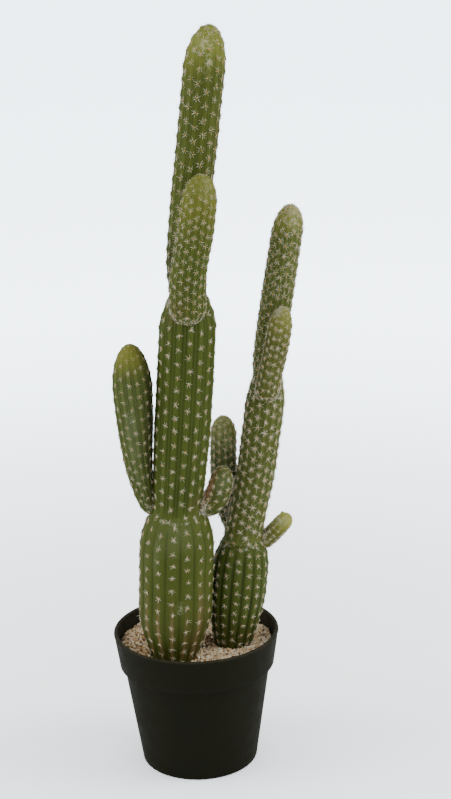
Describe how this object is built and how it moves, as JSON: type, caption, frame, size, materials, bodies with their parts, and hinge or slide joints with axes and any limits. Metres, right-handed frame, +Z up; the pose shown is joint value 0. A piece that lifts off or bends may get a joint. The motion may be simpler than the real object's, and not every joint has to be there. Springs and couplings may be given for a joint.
{
  "type": "artificial columnar cactus in a pot",
  "caption": "Tall artificial columnar cactus: jointed ribbed stems with upright arms in a round tapered plastic pot topped with gravel.",
  "frame": {"origin": "centre of the pot's flat underside", "axes": "+Z up the plant; the front of the plant faces -Y; the shorter plant stands towards +X"},
  "size_m": [0.201, 0.1696, 0.751],
  "materials": {
    "pot_plastic": "matte charcoal moulded plastic",
    "cast_fill": "rough cast cement",
    "gravel": "loose cream and tan quartz grit",
    "stem_skin": "satin olive green ribbed skin",
    "arm_skin": "satin yellow-green ribbed skin",
    "spines": "pale translucent bristles",
    "wool": "tan felted dots at the foot of each spine cluster"
  },
  "bodies": {
    "root": {"pot": "pot_plastic", "cast_fill": "cast_fill", "gravel_layer": "gravel", "left_base": "stem_skin", "left_middle": "stem_skin", "left_top": "stem_skin", "right_base": "stem_skin", "right_middle": "stem_skin", "right_top": "stem_skin", "left_front_arm": "arm_skin", "left_side_arm": "arm_skin", "left_stub_arm": "arm_skin", "right_front_arm": "arm_skin", "right_side_arm": "arm_skin", "right_back_arm": "arm_skin"}
  },
  "joints": []
}
